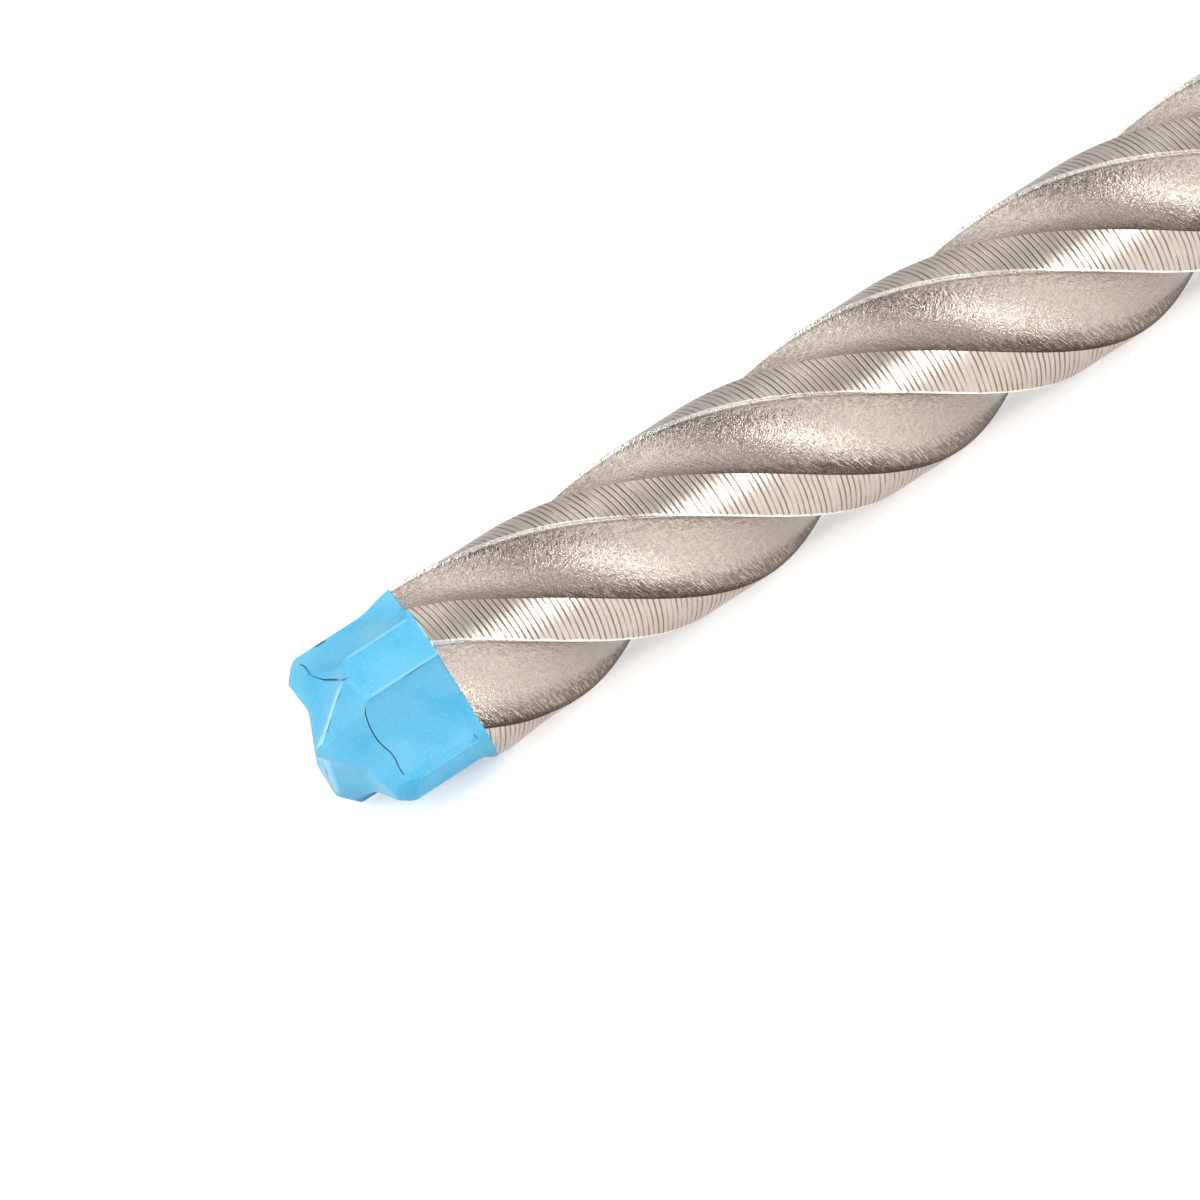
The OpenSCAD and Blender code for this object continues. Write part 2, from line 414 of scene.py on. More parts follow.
def fluted_rows(part, height):
    """Angles and radii of the fluted steel, one row for each height.

    The radius grows from the plain neck to the lands and flares towards the head, and the
    flutes deepen over the run-out. Under the paint the outline goes over to the head's.
    """
    s = part.s
    h = height[:, None]
    runout = ease(h, part.runout_z, part.runout_z + s.runout_length)
    rise = ease(h, part.collar_z - NECK_RISE, part.runout_z + s.runout_length / 2)
    radius = (part.neck_r + (part.land_r - part.neck_r) * rise
              + (part.flare_r - part.land_r) * ease(h, part.flare_z, part.turn_z))
    angle, r = part.fluted(STEEL_LANE, radius, s.flute_depth * runout, s.land_step * runout)
    angle = angle + lane_twist(part, h)
    head_angle, head_r = part.lobed(STEEL_LANE, part.joint_depth)
    share = bridge_share(part, h, lane_twist(part, h))
    return angle + (head_angle - angle) * share, r + (head_r - r) * share, runout


def shank_radius(part, height):
    """Radius of the shank at each height, with its chamfered rear end, as a column."""
    chamfer = part.s.rear_chamfer
    return (part.shank_r - chamfer + np.clip(height, 0, chamfer))[:, None]


def arc_columns(inner):
    """Angles from the start of a quarter, whose middle is 0, up to the angle -inner."""
    arc = np.linspace(0, 1, ARC_COLUMNS + 1)[None, :-1]
    return -QUARTER / 2 + (QUARTER / 2 - inner) * arc


def slot_quarter(part, height):
    """Places across the axis of the quarter that holds a driving slot, round its middle.

    The slot has two flat walls and a flat floor, whose distance from the axis grows on the
    cutter's arc at the inner end. Past the slot the same columns lie on the round shank, a
    fifth of the slot's width or more to each side of its middle.
    """
    s = part.s
    radius = shank_radius(part, height)
    rise = np.clip(height - s.slot_length, 0, s.slot_cutter)[:, None]
    floor = part.shank_r - s.slot_depth + s.slot_cutter - np.sqrt(s.slot_cutter ** 2 - rise ** 2)
    half = np.minimum(s.slot_width / 2, np.sqrt(np.maximum(radius ** 2 - floor ** 2, 0)))
    half = np.maximum(half, s.slot_width / 5)
    top = np.sqrt(radius ** 2 - half ** 2)
    floor = np.minimum(floor, top)
    across = np.linspace(-1, 1, FLOOR_COLUMNS)[None, :] * half
    floor_x = np.minimum(floor, np.sqrt(radius ** 2 - across ** 2))
    wall_x = top + (floor - top) * np.linspace(0, 1, WALL_COLUMNS + 1)[None, :-1]
    left = arc_columns(np.arctan2(half, top))
    right = -left[:, ::-1]
    x = np.concatenate([radius * np.cos(left), wall_x, floor_x, wall_x[:, ::-1],
                        radius * np.cos(right)], axis=1)
    y = np.concatenate([radius * np.sin(left), -half + 0 * wall_x, across, half + 0 * wall_x,
                        radius * np.sin(right)], axis=1)
    return x, y


NARROWEST_POCKET = math.radians(10)


def pocket_quarter(part, height):
    """Places across the axis of the quarter that holds a closed pocket, round its middle.

    The pocket is what a ball of the pocket's radius leaves when it runs along the shank with
    its middle outside it, so the floor is an arc and both ends are round.
    """
    s = part.s
    radius = shank_radius(part, height)
    middle = part.shank_r - s.pocket_depth + s.pocket_r
    past = np.maximum(part.pocket_near - height, 0) + np.maximum(height - part.pocket_far, 0)
    ball_2 = s.pocket_r ** 2 - past[:, None] ** 2
    lip = (radius ** 2 + middle ** 2 - np.maximum(ball_2, 0)) / (2 * radius * middle)
    spread = np.maximum(np.arccos(np.clip(lip, -1, 1)), NARROWEST_POCKET)
    inner = np.linspace(-1, 1, QUARTER_COLUMNS - 2 * ARC_COLUMNS)[None, :] * spread
    chord_2 = ball_2 - (middle * np.sin(inner)) ** 2
    floor = middle * np.cos(inner) - np.sqrt(np.maximum(chord_2, 0))
    inner_r = np.where(chord_2 > 0, np.minimum(floor, radius), radius)
    left = arc_columns(spread)
    angle = np.concatenate([left, inner, -left[:, ::-1]], axis=1)
    r = np.concatenate([radius + 0 * left, inner_r, radius + 0 * left], axis=1)
    return r * np.cos(angle), r * np.sin(angle)


def shank_rows(part, height):
    """Places across the axis of the whole shank: slots at angle 0 and 180, pockets between."""
    x, y = [], []
    for k in range(STARTS):
        qx, qy = slot_quarter(part, height) if k % 2 == 0 else pocket_quarter(part, height)
        c, s = math.cos(QUARTER * k), math.sin(QUARTER * k)
        x.append(qx * c - qy * s)
        y.append(qx * s + qy * c)
    return np.concatenate(x, axis=1), np.concatenate(y, axis=1)


CHAMFER_ROWS = 3
REAR_ROWS = 8
POCKET_END_ROWS = 14
POCKET_ROWS = 10
SLOT_END_ROWS = 16
HEIGHT_DIGITS = 7


def shank_heights(part):
    """Heights of the shank's rows, close together where a slot or a pocket ends."""
    s = part.s
    round_end = part.pocket_reach * (1 - np.cos(np.linspace(0, math.pi / 2, POCKET_END_ROWS)))
    heights = np.concatenate([
        np.linspace(0, s.rear_chamfer, CHAMFER_ROWS),
        np.linspace(s.rear_chamfer, s.pocket_start, REAR_ROWS),
        s.pocket_start + round_end,
        np.linspace(part.pocket_near, part.pocket_far, POCKET_ROWS),
        s.pocket_start + s.pocket_length - round_end,
        np.linspace(s.slot_length, s.slot_length + part.slot_rise, SLOT_END_ROWS)])
    return np.unique(np.round(heights, HEIGHT_DIGITS))


COLLAR_ROWS = 14
FIRST_FLUTE_ROW = 0.3 * MM
FLUTE_ROW_STEP = 0.4 * MM
FINE_LENGTH = 4 * MM
FINE_ROWS = 46


def steel_surface(part):
    """Places across the axis, heights and flute depths of the whole steel body, from the rear
    face to the joint, with close rows over the last few millimetres.

    The shank's columns turn into the columns of the flutes over the plain collar, where both
    lie on the same round, so no column crosses an edge.
    """
    shank_z = shank_heights(part)
    x, y = shank_rows(part, shank_z)
    neck_z = part.collar_z + part.s.neck_step
    fine_z = part.joint_z - FINE_LENGTH
    collar_z = np.linspace(shank_z[-1], part.collar_z, COLLAR_ROWS)[1:]
    flute_z = np.concatenate([
        [neck_z], np.arange(neck_z + FIRST_FLUTE_ROW, fine_z, FLUTE_ROW_STEP),
        np.linspace(fine_z, part.joint_z, FINE_ROWS)])
    angle, radius, runout = fluted_rows(part, np.concatenate([collar_z, flute_z]))
    collar = len(collar_z)
    shank_angle = np.unwrap(np.arctan2(y[-1], x[-1]))
    turns = np.round((angle[collar - 1] - shank_angle).mean() / QUARTER / 2) * 2 * QUARTER
    share = ease(collar_z, shank_z[-1], part.collar_z)[:, None]
    angle[:collar] = (1 - share) * (shank_angle + turns) + share * angle[:collar]
    radius[:collar] = part.shank_r
    x = np.concatenate([x, radius * np.cos(angle)])
    y = np.concatenate([y, radius * np.sin(angle)])
    height = np.concatenate([shank_z, collar_z, flute_z])
    deep = np.concatenate([np.zeros(len(shank_z) + collar), runout[collar:, 0]])
    return x, y, height, deep


def end_cap(columns, height, radius):
    """Two rows that close an end: a ring with even angles well inside the outline, and a point."""
    angle = -QUARTER / 2 + 2 * math.pi * np.arange(columns) / columns
    point = np.zeros(columns)
    return (np.stack([radius * np.cos(angle), point]), np.stack([radius * np.sin(angle), point]),
            np.array([height, height]))


def column_maps(part, height, deep):
    """Lane map and skin map of the steel body.

    The lane map holds the lane coordinate and how deep the flutes are, from 0 to 1. The skin
    map holds the length round the bit, untwisted, and the height, both in metres.
    """
    lanes = np.append(np.tile(STEEL_LANE[0], STARTS), STEEL_LANE[0, 0])
    angle, _ = part.fluted(STEEL_LANE, part.land_r, 0, 0)
    around = np.append(angle, angle[0, 0] + 2 * math.pi) * part.land_r
    return {"lane": np.stack(np.broadcast_arrays(lanes[None, :], deep[:, None]), axis=-1),
            "skin": np.stack(np.broadcast_arrays(around[None, :], height[:, None]), axis=-1)}


def roof(x, y, falls, chamfer, rim, crease):
    """Height of one pair of opposite blades over their top point on the axis.

    The edges run out along +x and -x. Each blade lies below planes through the top point with
    the given falls along and across its edge, as angles; the first plane is the leading facet.
    A cone of 45 degrees takes off the outer corners: it passes the rim at the chamfer's depth
    below the edge's end. The whole roof is the lowest of all these, with softened creases.
    """
    height = rim - np.hypot(x, y) - rim * math.tan(falls[0][0]) - chamfer
    for sign in (1, -1):
        for along, across in falls:
            plane = -sign * (x * math.tan(along) + y * math.tan(across))
            height = soft_min(height, plane, crease)
    return height


def edge_axes(part, x, y):
    """Places along and across the main cutting edges."""
    c, s = math.cos(-part.s.edge_setback), math.sin(-part.s.edge_setback)
    return x * c + y * s, -x * s + y * c


DIP_START = 0.9 * MM
DIP_END = (1.2 * MM, 3.6 * MM)
TIP_POINT = 0.01 * MM


def head_front(part, x, y):
    """Height above the rear face of the head's front: the higher of the main and the secondary
    roof, each turned to its own edges, with four times the softness where the two meet. The
    front is ground a little out of square, and the main edges dip beside the tip."""
    s = part.s
    main_fall = (math.pi - s.point_angle) / 2
    side_fall = (math.pi - s.side_point_angle) / 2
    main_falls = ((main_fall, s.main_facet), (main_fall, -s.main_relief),
                  (s.back_fall, -s.back_angle))
    side_falls = ((side_fall, s.side_facet), (side_fall, -s.side_relief))
    main_x, main_y = edge_axes(part, x, y)
    main = roof(main_x, main_y, main_falls, s.main_chamfer, part.head_r, s.crease)
    side = roof(main_y, -main_x, side_falls, s.side_chamfer, part.head_r, s.crease)
    whole = soft_max(main, side - s.side_edge_drop, 4 * s.crease)
    out = np.hypot(x, y)
    along_edge = main_x ** 2 / np.maximum(out, TIP_POINT) ** 2
    dip = s.tip_dip * along_edge * ease(out, 0, DIP_START) * (1 - ease(out, *DIP_END))
    return part.tip_z + whole - dip - main_x * math.tan(s.front_tilt)


HEAD_FLUTE_COLUMNS = 64
HEAD_LAND_COLUMNS = 24
SIDE_ROWS = 24
RIM_ROWS = 8
FRONT_ROWS = 72
JOINT_BLEND = 3 * MM
SPREAD_END = 0.35
GROOVE_START = (0.02, 0.1)
GROOVE_END = (0.9, 0.98)


def head_surface(part):
    """Points of the carbide head, and its edge, front and lane maps.

    Its side is the section of the straight grooves, carried from the joint up to the front.
    The front edge is rounded by a quarter arc set inwards towards the axis, and the front runs
    in from there at the height of the roofs, while its columns spread out evenly. The edge map
    holds the distance from the front edge, in metres, and how much the column lies on a groove.
    The front map holds the place along and across the main cutting edges, in metres, and the
    lane map holds the lane coordinate and the height over the joint.
    """
    s = part.s
    lane = lane_steps(HEAD_FLUTE_COLUMNS, HEAD_LAND_COLUMNS)
    (angle, radius), (_, joint_radius) = (
        [grid[0] for grid in part.lobed(lane[None, :], depth)]
        for depth in (s.groove_depth, part.joint_depth))
    lanes = np.tile(lane, STARTS)
    in_groove = ease(lanes, *GROOVE_START) * (1 - ease(lanes, *GROOVE_END))
    rounding = s.rim_round + (s.groove_round - s.rim_round) * in_groove
    rim = head_front(part, radius * np.cos(angle), radius * np.sin(angle))
    even = np.linspace(0, 2 * math.pi, len(angle), endpoint=False)
    even += (angle - even).mean()
    up, angles, radii, edge = [], [], [], []

    def add_row(level, turned, out, distance):
        for rows, row in ((up, level), (angles, turned), (radii, out), (edge, distance)):
            rows.append(row)

    for share in np.linspace(0, 1, SIDE_ROWS):
        level = part.joint_z + (rim - rounding - part.joint_z) * share
        out = joint_radius + (radius - joint_radius) * ease(
            level, part.joint_z, part.joint_z + JOINT_BLEND)
        add_row(level, angle, out, (part.joint_z - rim) * (1 - share) - rounding * share)
    for turn in np.linspace(0, math.pi / 2, RIM_ROWS)[1:]:
        inner = radius - rounding * (1 - math.cos(turn))
        level = head_front(part, inner * np.cos(angle), inner * np.sin(angle))
        add_row(level - rounding * (1 - math.sin(turn)), angle, inner,
                rounding * (2 * turn / (math.pi / 2) - 1))
    start = radii[-1]
    for share in np.linspace(1, 0, FRONT_ROWS)[1:]:
        turned = angle + (even - angle) * ease(1 - share, 0, SPREAD_END)
        out = start * share
        add_row(head_front(part, out * np.cos(turned), out * np.sin(turned)), turned, out,
                rounding + start * (1 - share))
    up = np.array(up)
    x, y = np.array(radii) * np.cos(angles), np.array(radii) * np.sin(angles)
    maps = {"edge": (np.array(edge), np.broadcast_to(in_groove, x.shape)),
            "front": edge_axes(part, x, y),
            "lane": (np.broadcast_to(lanes, x.shape), up - part.joint_z)}
    for name, pair in maps.items():
        grid = np.stack(pair, axis=-1)
        maps[name] = np.concatenate([grid, grid[:, :1]], axis=1)
    return x, y, up, maps


class Wire:
    """One value that a shader works out at each place of a surface.

    It is the output of a node in a tree. Sums, products and comparisons of wires and plain
    numbers each add one Math node and give a new wire.
    """

    def __init__(self, tree, socket):
        self.tree, self.socket = tree, socket

    def __add__(self, other):
        return maths("ADD", self, other)

    def __sub__(self, other):
        return maths("SUBTRACT", self, other)

    def __rsub__(self, other):
        return maths("SUBTRACT", other, self)

    def __mul__(self, other):
        return maths("MULTIPLY", self, other)

    def __rtruediv__(self, other):
        return maths("DIVIDE", other, self)

    def __gt__(self, other):
        return maths("GREATER_THAN", self, other)

    def __lt__(self, other):
        return maths("LESS_THAN", self, other)

    def __abs__(self):
        return maths("ABSOLUTE", self)


def new_node(tree, kind, **settings):
    """Adds a shader node and sets its plain properties."""
    made = tree.nodes.new(kind)
    for key, value in settings.items():
        setattr(made, key, value)
    return made


def feed(socket, value):
    """Links a wire to a socket, or sets a plain value on it."""
    if isinstance(value, Wire):
        value.tree.links.new(value.socket, socket)
    else:
        socket.default_value = value


def joined(tree, kind, values, output=0, **settings):
    """Adds a node, feeds its sockets by name or number, and gives one of its outputs."""
    made = new_node(tree, kind, **settings)
    for key, value in values.items():
        feed(made.inputs[key], value)
    return Wire(tree, made.outputs[output])


def maths(operation, *values, clamp=False):
    """Math node on one or two values, of which at least one is a wire."""
    tree = next(value.tree for value in values if isinstance(value, Wire))
    return joined(tree, "ShaderNodeMath", dict(enumerate(values)),
                  operation=operation, use_clamp=clamp)


def largest(first, *others):
    """Largest of several wires."""
    for other in others:
        first = maths("MAXIMUM", first, other)
    return first


def band(value, start, end, low=0.0, high=1.0):
    """Smooth ramp from low to high while value goes from start to end."""
    ramp = dict(enumerate((value, start, end, low, high)))
    return joined(value.tree, "ShaderNodeMapRange", ramp, interpolation_type="SMOOTHSTEP")


def mix_colour(share, first, second):
    """Colour between first and second by share."""
    return joined(share.tree, "ShaderNodeMix", {"Factor": share, 6: first, 7: second}, 2,
                  data_type="RGBA")


def mix_value(share, first, second):
    """Value between first and second by share."""
    return joined(share.tree, "ShaderNodeMix", {0: share, 2: first, 3: second}, data_type="FLOAT")


def vector_of(*values):
    """Vector of up to three values, the first of them a wire."""
    return joined(values[0].tree, "ShaderNodeCombineXYZ", dict(enumerate(values)))


def parts_of(vector):
    """The three numbers of a vector."""
    parts = new_node(vector.tree, "ShaderNodeSeparateXYZ")
    feed(parts.inputs[0], vector)
    return [Wire(vector.tree, output) for output in parts.outputs]


def noise(vector, scale, detail=2.0, roughness=0.5, stretch=(1, 1, 1)):
    """Noise texture on a vector that is first scaled by stretch, as a value from 0 to 1."""
    stretched = joined(vector.tree, "ShaderNodeMapping", {"Vector": vector, "Scale": stretch})
    return joined(vector.tree, "ShaderNodeTexNoise", {
        "Vector": stretched, "Scale": scale, "Detail": detail, "Roughness": roughness}, "Fac")


def bump(height, distance):
    """Bump node, as a normal."""
    return joined(height.tree, "ShaderNodeBump", {
        "Strength": 1.0, "Distance": distance, "Height": height})


def new_group(name, inputs, outputs):
    """Node group with named sockets, each a name and a kind of value: the wires of its inputs
    by name, and the node that takes its outputs."""
    tree = bpy.data.node_groups.new(name, "ShaderNodeTree")
    for sockets, side in ((inputs, "INPUT"), (outputs, "OUTPUT")):
        for socket, kind in sockets.items():
            tree.interface.new_socket(socket, in_out=side, socket_type="NodeSocket" + kind)
    given, out = tree.nodes.new("NodeGroupInput"), tree.nodes.new("NodeGroupOutput")
    return {socket: Wire(tree, given.outputs[socket]) for socket in inputs}, out


def grain_group():
    """Node group: fine grain of a blasted surface.

    Vector is in metres and Size is the width of a grain. Height is the grain's relief.
    """
    given, out = new_group("fine_grain", {"Vector": "Vector", "Size": "Float"}, {"Height": "Float"})
    scaled = joined(given["Size"].tree, "ShaderNodeVectorMath", {
        0: given["Vector"], "Scale": 1.0 / given["Size"]}, operation="SCALE")
    coarse = noise(scaled, 1.0, detail=3, roughness=0.65)
    fine = noise(scaled, 2.6, detail=2, roughness=0.6)
    feed(out.inputs["Height"], coarse * 0.6 + fine * 0.4)
    return out.id_data


def lacquer_group(finish):
    """Node group: colour and relief of the blue lacquer.

    It lies a little thicker here and there, with pale flecks and a faint orange peel.
    """
    given, out = new_group(
        "blue_lacquer", {"Vector": "Vector"}, {"Color": "Color", "Height": "Float"})
    where = given["Vector"]
    thin = band(noise(where, 330, detail=3), 0.32, 0.68)
    fleck = band(noise(where, 5200, detail=2, roughness=0.7), 0.5, 0.8, 0.0, 0.25)
    colour = mix_colour(thin, (*finish.paint_deep, 1), (*finish.paint, 1))
    feed(out.inputs["Color"], mix_colour(fleck, colour, (*finish.thin_paint_and_highlight, 1)))
    feed(out.inputs["Height"], noise(where, 1800, detail=1))
    return out.id_data


def place_group(group, vector, **values):
    """Places a node group at a vector in a material, as its outputs by name."""
    made = new_node(vector.tree, "ShaderNodeGroup", node_tree=group)
    for name, value in dict(values, Vector=vector).items():
        feed(made.inputs[name], value)
    return {output.name: Wire(vector.tree, output) for output in made.outputs}


def shared_groups(finish):
    """The two node groups that the materials use, made once."""
    grain = bpy.data.node_groups.get("fine_grain") or grain_group()
    lacquer = bpy.data.node_groups.get("blue_lacquer") or lacquer_group(finish)
    return grain, lacquer


def new_material(name):
    """Empty material with a Principled BSDF, as the material, its tree and the shader."""
    material = bpy.data.materials.new(name)
    material.use_nodes = True
    return material, material.node_tree, material.node_tree.nodes["Principled BSDF"]


def object_place(tree):
    """Place on a piece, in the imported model's frame."""
    return joined(tree, "ShaderNodeTexCoord", {}, "Object")


def uv_map(tree, name):
    """A UV map, as a vector."""
    return joined(tree, "ShaderNodeUVMap", {}, uv_map=name)


def paint_mask(where, sizes):
    """1 where the paint covers the bit: in front of a slanting plane, with a slightly ragged
    edge."""
    x, y, z = parts_of(where)
    toward_y = math.sin(sizes.paint_side) * sizes.paint_slant
    toward_z = math.cos(sizes.paint_side) * sizes.paint_slant
    edge_x = sizes.tip_x + sizes.paint_start + toward_z * sizes.axis_height
    rag = noise(where, 2500, detail=2) - 0.5
    behind = (y * toward_y + (z * toward_z + x)) - edge_x + rag * (0.12 * MM)
    return band(behind, -0.02 * MM, 0.02 * MM, 1.0, 0.0)


def stroke_noise(around, height):
    """Noise drawn out to short strokes that lean from a flute's floor towards its foot."""
    leaning = vector_of(around, around * -0.7 + height)
    return noise(leaning, 7500, detail=3, roughness=0.7, stretch=(0.2, 1.0, 1.0))


def worn_and_highlit_share(lane, deep, skin):
    """1 on the narrow bright strip at a land's trailing edge, partly wear and partly a painted
    highlight of the edge, uneven in width and strength.
    """
    uneven = noise(skin, 1100, detail=3, roughness=0.7)
    strip = band(lane, 0.985, 0.998) * (lane < uneven * 0.11 + 0.99)
    return strip * (deep * band(uneven, 0.2, 0.5, 0.35, 1.0))


def land_lines(skin, height, pitch, on_land):
    """1 in the thin grinding lines that cross a land, some of them faint or broken."""
    place_along = noise(skin, 380, detail=2) * (0.15 * MM) + height
    wave = maths("SINE", place_along * (2 * math.pi / pitch))
    faint = band(noise(skin, 700, detail=2, stretch=(0.5, 2.4, 1.0)), 0.3, 0.6, 0.25, 1.0)
    return band(wave, 0.25, 0.95) * faint * on_land


def plain_marks(where, height, deep, sizes):
    """Marks on the plain steel of the shank and the collar, as a shade and a relief.

    Fine turned rings follow the height and, on the rear face, the distance from the axis. The
    floors of the slots and pockets are duller, and the chuck has rubbed pale streaks lengthwise.
    """
    x, y, z = parts_of(where)
    up = z - sizes.axis_height
    out = maths("SQRT", y * y + up * up)
    rings = noise(vector_of(x - out), 5200, detail=2, roughness=0.7)
    shank_r = sizes.shank_d / 2
    sunk = band(out, shank_r - 0.12 * MM, shank_r - 0.45 * MM) * (height > 0.02 * MM)
    rubbed = band(noise(where, 900, detail=3, roughness=0.6, stretch=(0.05, 1, 1)), 0.48, 0.66)
    shade = sunk * 0.38 + band(rings, 0.42, 0.66) * (rubbed * -0.34 + 0.50)
    return shade * (1.0 - deep), rings * (1.0 - deep)


PAINT_ROUGHNESS = 0.36
PAINT_SPECULAR = 0.14
PAINT_RELIEF = 0.004


def steel_material(sizes, finish, grain, lacquer):
    """Warm grey steel: ground lands with thin cross lines, blasted and mottled flutes, painted
    shade under each land's trailing edge and a painted shadow line at each flute's foot, and a
    bright strip at each trailing edge that is partly wear and partly a painted highlight, with the
    blue paint over its front end."""
    material, tree, shader = new_material("nickel_steel")
    skin, where = uv_map(tree, "skin"), object_place(tree)
    lane, deep, _ = parts_of(uv_map(tree, "lane"))
    around, height, _ = parts_of(skin)
    on_land = (lane > 1.0) * deep
    in_flute = (lane < 1.0) * deep

    fine = place_group(grain, where, Size=0.10 * MM)["Height"]
    coarse = place_group(grain, where, Size=0.30 * MM)["Height"]
    lines = land_lines(skin, height, finish.hatch_pitch, on_land)
    # Painted highlight and wear: a bright strip along each land's trailing edge.
    worn_and_highlit = worn_and_highlit_share(lane, deep, skin)
    plain_shade, rings = plain_marks(where, height, deep, sizes)

    # Painted shade: a darker band on the steep wall under each land's trailing edge, a dark line
    # just under the edge, and a dark shadow line at each flute's foot.
    shade_under_edge = band(lane, 0.66, 0.90) * in_flute
    shade_line_under_edge = band(lane, 0.955, 0.985) * in_flute
    foot = band(lane, 0.016, 0.003) * in_flute
    near_foot = band(lane, 0.30, 0.02) * in_flute
    strokes = stroke_noise(around, height)
    scratched = band(near_foot * 0.15 + strokes, 0.54, 0.66)
    mottle = band(fine, 0.38, 0.66)
    patch = band(coarse, 0.40, 0.62)
    blasted = (mottle * 0.34 + patch * 0.20) * (in_flute * 0.55 + 0.45)
    shade = scratched * (in_flute * (near_foot * 0.60 + 0.12)) + blasted
    shade = largest(shade, shade_under_edge * (mottle * 0.34 + patch * 0.40),
                    shade_line_under_edge * (patch * 0.4 + 0.45), lines * 0.95, foot, plain_shade)
    shade = maths("MULTIPLY", shade, 1.0 - worn_and_highlit, clamp=True)
    metal = mix_colour(shade, (*finish.steel, 1), (*finish.steel_shade, 1))
    metal = mix_colour(worn_and_highlit, metal, (*finish.worn_and_highlit_steel, 1))

    painted = paint_mask(where, sizes)
    blue = place_group(lacquer, where)
    feed(shader.inputs["Base Color"], mix_colour(painted, metal, blue["Color"]))
    feed(shader.inputs["Metallic"], 1.0 - painted)
    metal_roughness = fine * 0.34 + (on_land * 0.08 + 0.08)
    feed(shader.inputs["Roughness"], mix_value(painted, metal_roughness, PAINT_ROUGHNESS))
    feed(shader.inputs["Specular IOR Level"], PAINT_SPECULAR)

    pits = (fine * 0.020 + coarse * 0.095 + strokes * 0.012) * (in_flute * 0.8 + 0.2)
    relief = (pits - lines * 0.025 + rings * 0.010) * (1.0 - painted)
    feed(shader.inputs["Normal"], bump(relief + blue["Height"] * (painted * PAINT_RELIEF), MM))
    return material


def edge_lines(where, distance, groove, lane, front):
    """Dark hairline where the paint breaks on the grooves' front edges, and on from there over
    a lobe's leading corner up to its cutting edge. In the upper groove it leaves the edge: it
    crosses it in a curve and runs on straight over the front to the end of the ridge."""
    along, across, _ = parts_of(front)
    on_front = distance > -0.02 * MM
    upper = (along > 0.0) * (across > -0.02 * MM)
    other = 1.0 - upper
    corner = band(lane, 1.60, 1.68) * ((abs(along) > abs(across)) * other)
    shown = largest(groove * largest(other, lane > 0.67), corner)
    crossing = upper * largest((0.69 - lane) * (2.7 * MM), -0.62 * MM)
    line = band(abs(distance - crossing), 0.055 * MM, 0.018 * MM) * band(shown, 0.02, 0.2)
    short = largest(2.6 * MM - along, 0.0)
    bend = short * short * (0.78 / MM)
    beside = abs(along * 0.803 + across - 4.086 * MM - bend)
    straight = band(beside, 0.085 * MM, 0.030 * MM) * ((along > 1.6 * MM) * upper) * on_front
    broken = band(noise(where, 700, detail=2), 0.36, 0.50)
    return largest(line, straight) * (broken * 0.7 + 0.3)


def ridge_lines(where, front):
    """The main cutting edges under the paint: a pale band on the leading side of each, a painted
    highlight of its leading facet, and a dark hairline on its trailing side, as two shares."""
    along, across, _ = parts_of(front)
    leading = across * maths("SIGN", along)
    out = abs(along)
    length = band(out, 0.1 * MM, 0.5 * MM) * band(out, 5.0 * MM, 3.9 * MM)
    ragged = noise(where, 1500, detail=2) * (0.25 * MM) + leading
    # Painted highlight on the leading facet beside the edge.
    pale = band(ragged, 0.10 * MM, 0.20 * MM) * band(ragged, 0.62 * MM, 0.30 * MM)
    hair = band(abs(leading + 0.02 * MM), 0.055 * MM, 0.02 * MM)
    dark = hair * band(noise(where, 900, detail=2), 0.40, 0.56)
    return pale * length, dark * length


def lobe_lines(where, lane, distance):
    """Broken hairlines along the lobes' side edges: a painted highlight on the land, and painted
    shade in the groove just beside the edge.
    """
    on_side = band(distance, -0.2 * MM, -0.4 * MM)
    broken = on_side * band(noise(where, 620, detail=3), 0.50, 0.58)
    # Painted shade in the groove next to each side edge, and a painted highlight on the land along
    # it.
    dark = largest(band(lane, 0.008, 0.003), band(lane, 0.992, 0.997) * (lane < 1.0))
    pale = largest(band(lane, 1.93, 1.96), band(lane, 1.07, 1.03) * (lane > 1.0))
    return pale * on_side, dark * broken


def paint_material(finish, lacquer):
    """Light blue lacquer over the head, broken to thin lines on the edges under it, with painted
    highlights on the edges and painted shade in the grooves beside the lobes' side edges.
    """
    material, tree, shader = new_material("blue_lacquer")
    where, front = object_place(tree), uv_map(tree, "front")
    distance, groove, _ = parts_of(uv_map(tree, "edge"))
    lane, _, _ = parts_of(uv_map(tree, "lane"))
    blue = place_group(lacquer, where)
    on_front = band(distance, 0.0, 0.2 * MM)
    pale, dark = ridge_lines(where, front)
    side_highlight, side_shade = lobe_lines(where, lane, distance)
    # Painted highlight: thin is the share of pale paint that stands for light caught on the edges.
    thin = side_highlight * 0.35 + pale * (on_front * 0.8)
    colour = mix_colour(thin, blue["Color"], (*finish.thin_paint_and_highlight, 1))
    # The dark lines include the painted shade in the grooves beside the side edges.
    line = largest(edge_lines(where, distance, groove, lane, front),
                   dark * (on_front * 0.75), side_shade * 0.7)
    feed(shader.inputs["Base Color"], mix_colour(line, colour, (*finish.line, 1)))
    feed(shader.inputs["Roughness"], PAINT_ROUGHNESS)
    feed(shader.inputs["Specular IOR Level"], PAINT_SPECULAR)
    feed(shader.inputs["Normal"], bump(blue["Height"], PAINT_RELIEF * MM))
    return material


REAR_CAP_R = 3 * MM
FRONT_CAP_R = 2 * MM
STEEL_SHARP = math.radians(28)
HEAD_SHARP = math.radians(50)


